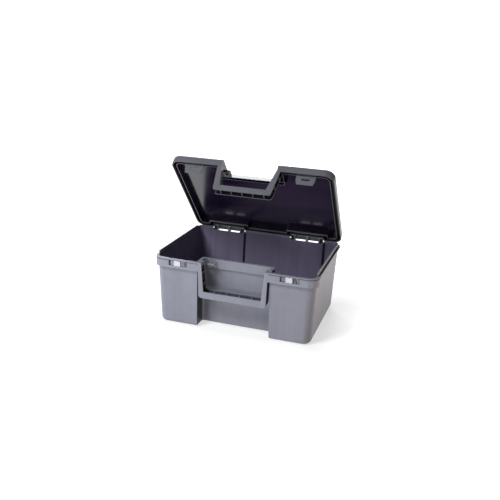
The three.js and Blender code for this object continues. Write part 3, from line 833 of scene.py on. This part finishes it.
@dataclass
class Lid(Shell):
    """The shallow upper half, swung open about its hinge."""

    pivot: Vector = field(default_factory=lambda: Vector(HINGE_AXIS))
    roof_above: float = 182.0 * MM
    rib_edge: float = 171.6 * MM
    rear_ribs: float = 112.0 * MM
    # Forward-facing rear rib faces below this height keep the outside finish as a lit strip; the inside's
    # painted shade starts above it.
    lit_edge: float = 174.8 * MM

    def __post_init__(self) -> None:
        """Works out the turn that closes the lid."""
        self.closing = Matrix.Rotation(math.radians(LID_OPEN_DEG), 3, "X")

    def closed_place(self, point: Vector) -> Vector:
        """Returns where a point of the open lid is when the lid is closed."""
        return self.closing @ (point - self.pivot) + self.pivot

    def is_seed(self, polygon: bpy.types.MeshPolygon) -> bool:
        """Says whether a face is the roof seen from inside."""
        place = self.closed_place(polygon.center)
        return (self.closing @ polygon.normal).z < -0.99 and place.z > self.roof_above

    def is_inner(self, polygon: bpy.types.MeshPolygon) -> bool:
        """Says whether a face is above the lower edge of the lid's rib."""
        place = self.closed_place(polygon.center)
        shows_forwards = place.y > self.rear_ribs and (self.closing @ polygon.normal).y < -0.5
        lowest = self.lit_edge if shows_forwards else self.rib_edge
        return place.z > lowest

    def score_faces(self, piece: bpy.types.Object) -> None:
        """Cuts the lid level with the top of the rib's lit lower edge, where the inside's painted shade
        begins.
        """
        closed = Vector((0.0, self.pivot.y, self.lit_edge))
        opening = self.closing.transposed()
        point = opening @ (closed - self.pivot) + self.pivot
        Bench.score(piece, point, opening @ Vector((0.0, 0.0, 1.0)))


@dataclass
class HingePin:
    """A drawn steel pin with upset, rounded ends."""

    side: str
    end_chamfer: float = 0.35 * MM

    def build(self, wardrobe: Wardrobe) -> bpy.types.Object:
        """Builds and dresses the pin.

        Args:
            wardrobe: Where its finish comes from.

        Returns:
            The finished pin.
        """
        node = f"hinge_pin_{self.side}"
        low, high = (Vector(corner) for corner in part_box(node))
        middle = (low + high) / 2
        start = Vector((low.x, middle.y, middle.z))
        end = Vector((high.x, middle.y, middle.z))
        piece = Bench.cylinder(f"drawn_pin_{self.side}", (high.z - low.z) / 2, start, end)
        for towards in (Vector((-1, 0, 0)), Vector((1, 0, 0))):
            Bench.pick_faces(piece, towards)
            bpy.ops.mesh.inset(thickness=0.45 * MM, depth=0.0)
            bpy.ops.mesh.inset(thickness=0.3 * MM, depth=-0.12 * MM)
            Bench.leave_edit()
        Bench.round_edges(piece, self.end_chamfer, 3, 50.0)
        Bench.smooth(piece)
        Bench.dress(piece, wardrobe.take(Finish.PIN))
        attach(piece, "tub")
        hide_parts(node)
        return piece


@dataclass
class LatchButton:
    """The pale thumb button, dished, with a raised oval pad and a plug into the slider."""

    side: str
    dish: float = 0.5 * MM
    pad: float = 0.3 * MM
    cap_depth: float = 2.2 * MM
    corner: float = 1.3 * MM
    plug_half: float = 3.0 * MM

    def build(self, wardrobe: Wardrobe) -> bpy.types.Object:
        """Builds and dresses the button.

        Args:
            wardrobe: Where its finish comes from.

        Returns:
            The finished button.
        """
        node = f"latch_button_{self.side}"
        low, high = (Vector(corner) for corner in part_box(node))
        piece = Bench.box(f"thumb_button_{self.side}", low, Vector((high.x, low.y + self.cap_depth, high.z)))
        self.round_corners(piece)
        plug = (2 * self.plug_half / (high.x - low.x), 2 * self.plug_half / (high.z - low.z))
        Bench.draw_out(piece, Vector((0, -1, 0)), [
            (0.8, 0.76, 0.0), (0.93, 0.92, -self.dish), (0.6, 0.5, 0.0), (0.9, 0.86, self.pad),
        ])
        Bench.draw_out(piece, Vector((0, 1, 0)), [(*plug, 0.0), (1.0, 1.0, high.y - low.y - self.cap_depth)])
        Bench.round_edges(piece, 0.22 * MM, 3, 35.0)
        Bench.smooth(piece, 40.0)
        Bench.note_openness(piece, 3.0 * MM)
        Bench.dress(piece, wardrobe.take(Finish.BUTTON))
        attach(piece, f"latch_{self.side}")
        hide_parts(node)
        return piece

    def round_corners(self, piece: bpy.types.Object) -> None:
        """Rounds the four corners that run from front to back."""
        Bench.hold(piece)
        bpy.ops.object.mode_set(mode="EDIT")
        bpy.ops.mesh.select_mode(type="EDGE")
        bpy.ops.mesh.select_all(action="DESELECT")
        Bench.leave_edit()
        for edge in piece.data.edges:
            first, second = (piece.data.vertices[index].co for index in edge.vertices)
            edge.select = abs((second - first).normalized().y) > 0.99
        bpy.ops.object.mode_set(mode="EDIT")
        bpy.ops.mesh.bevel(offset=self.corner, segments=5, affect="EDGES")
        Bench.leave_edit()


@dataclass
class FineNode:
    """A small moulded piece that keeps its shape and gets its edges softened."""

    frame: dict[str, object]
    node: str
    name: str
    body: str
    finish: Finish
    edge_width: float = 0.25 * MM

    def build(self, wardrobe: Wardrobe) -> bpy.types.Object:
        """Builds and dresses the piece.

        Args:
            wardrobe: Where its finish comes from.

        Returns:
            The finished piece.
        """
        piece = Bench.copy_of_node(self.frame["nodes"][self.node], self.name)
        Bench.round_edges(piece, self.edge_width, 3)
        Bench.smooth(piece)
        Bench.note_openness(piece, 6.0 * MM)
        Bench.dress(piece, wardrobe.take(self.finish))
        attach(piece, self.body)
        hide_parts(self.node)
        return piece


# ---------------------------------------------------------------------------
# Studio
# ---------------------------------------------------------------------------


@dataclass(frozen=True)
class Lamp:
    """A rectangular soft lamp that looks at a point; its size is a width and a height."""

    name: str
    place: tuple[float, float, float]
    target: tuple[float, float, float]
    size: tuple[float, float]
    power: float
    colour: Colour

    def hang(self) -> None:
        """Hangs the lamp where the camera doesn't see it."""
        Bench.clear_selection()
        bpy.ops.object.light_add(type="AREA", location=self.place)
        lamp = bpy.context.active_object
        lamp.name = self.name
        looks = Vector(self.target) - Vector(self.place)
        lamp.rotation_euler = looks.to_track_quat("-Z", "Y").to_euler()
        lamp.data.shape = "RECTANGLE"
        lamp.data.size, lamp.data.size_y = self.size
        lamp.data.energy = self.power
        lamp.data.color = self.colour
        lamp.visible_camera = False


COOL: Colour = (0.98, 0.99, 1.0)
WARM: Colour = (1.0, 0.64, 0.42)
MIDDLE = (0.0, 0.0, 0.15)
LAMPS = (
    Lamp("key_lamp", (-0.9, -1.5, 2.1), MIDDLE, (0.8, 0.8), 48.0, COOL),
    Lamp("front_fill", (-0.8, -1.0, 0.12), MIDDLE, (0.8, 0.2), 6.8, COOL),
    Lamp("side_bounce", (0.6, -0.1, 0.03), (0.2, 0.0, 0.04), (1.2, 0.05), 0.8, WARM),
    Lamp("rear_lamp", (-0.9, 2.6, 1.7), MIDDLE, (1.8, 1.4), 60.0, COOL),
)


@dataclass
class Studio:
    """Floor, lights and camera."""

    lens: float = 46.54
    camera_place: Vector = field(default_factory=lambda: Vector((0.4531, -1.4556, 0.6775)))
    azimuth: float = 17.44
    elevation: float = 18.47
    roll: float = 2.23
    seen_world: float = 1.1
    lit_world: float = 0.06

    def lay_floor(self) -> None:
        """Lays a wide white floor."""
        Bench.clear_selection()
        bpy.ops.mesh.primitive_plane_add(size=30.0, location=(0, 0, -0.0002))
        floor = bpy.context.active_object
        floor.name = "studio_floor"
        paper = StudioPaper(
            "studio_paper", glow=0.6, shown=0.5, bounced=0.07, spill=0.55, footprint=Vector((0.19, 0.13, 0.0))
        )
        Bench.dress(floor, paper.make())

    def set_world(self) -> None:
        """Surrounds the set with an even white."""
        world = bpy.data.worlds.new("studio_world")
        bpy.context.scene.world = world
        world.use_nodes = True
        tree = world.node_tree
        background = next(n for n in tree.nodes if n.type == "BACKGROUND")
        background.inputs["Color"].default_value = (1, 1, 1, 1)
        path = tree.nodes.new("ShaderNodeLightPath")
        strength = tree.nodes.new("ShaderNodeMath")
        strength.operation = "MULTIPLY_ADD"
        strength.inputs[1].default_value = self.seen_world - self.lit_world
        strength.inputs[2].default_value = self.lit_world
        tree.links.new(path.outputs["Is Camera Ray"], strength.inputs[0])
        tree.links.new(strength.outputs[0], background.inputs["Strength"])

    def set_camera(self) -> None:
        """Stands the camera where the object is seen from."""
        azimuth, elevation = math.radians(self.azimuth), math.radians(self.elevation)
        back = Vector((
            math.sin(azimuth) * math.cos(elevation),
            -math.cos(azimuth) * math.cos(elevation),
            math.sin(elevation),
        ))
        level = (-back).cross(Vector((0, 0, 1))).normalized()
        upright = level.cross(-back)
        roll = math.radians(self.roll)
        right = level * math.cos(roll) + upright * math.sin(roll)
        up = upright * math.cos(roll) - level * math.sin(roll)
        Bench.clear_selection()
        bpy.ops.object.camera_add(location=self.camera_place)
        camera = bpy.context.active_object
        camera.name = "studio_camera"
        turn = Matrix((right, up, back)).transposed().to_4x4()
        camera.matrix_world = Matrix.Translation(self.camera_place) @ turn
        camera.data.lens = self.lens
        camera.data.sensor_width = 36.0
        camera.data.clip_end = 100.0
        bpy.context.scene.camera = camera

    def set_up(self) -> None:
        """Sets up the whole studio."""
        self.lay_floor()
        self.set_world()
        for lamp in LAMPS:
            lamp.hang()
        self.set_camera()
        bpy.context.scene.view_settings.view_transform = "Standard"


# ---------------------------------------------------------------------------
# Making
# ---------------------------------------------------------------------------


def main() -> None:
    """Builds the toolbox and its studio, and logs the face count of each piece."""
    logging.basicConfig(level=logging.INFO, format="%(message)s")
    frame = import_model()
    Studio().set_up()
    wardrobe = Wardrobe()
    makers: list[Shell | HingePin | LatchButton | FineNode] = [
        Tub(frame, "body_shell", "tub", Finish.TUB, Finish.TUB_INSIDE),
        Lid(frame, "lid_shell", "lid", Finish.LID, Finish.LID_INSIDE),
    ]
    for side in ("left", "right"):
        body = f"latch_{side}"
        makers += [
            HingePin(side),
            FineNode(frame, f"latch_slider_{side}", f"thumb_slider_{side}", body, Finish.SLIDER),
            LatchButton(side),
            FineNode(frame, f"latch_hook_{side}", f"hook_plate_{side}", body, Finish.HOOK),
        ]
    for maker in makers:
        piece = maker.build(wardrobe)
        log.info("built %s with %d faces", piece.name, len(piece.data.polygons))


if __name__ == "__main__":
    main()
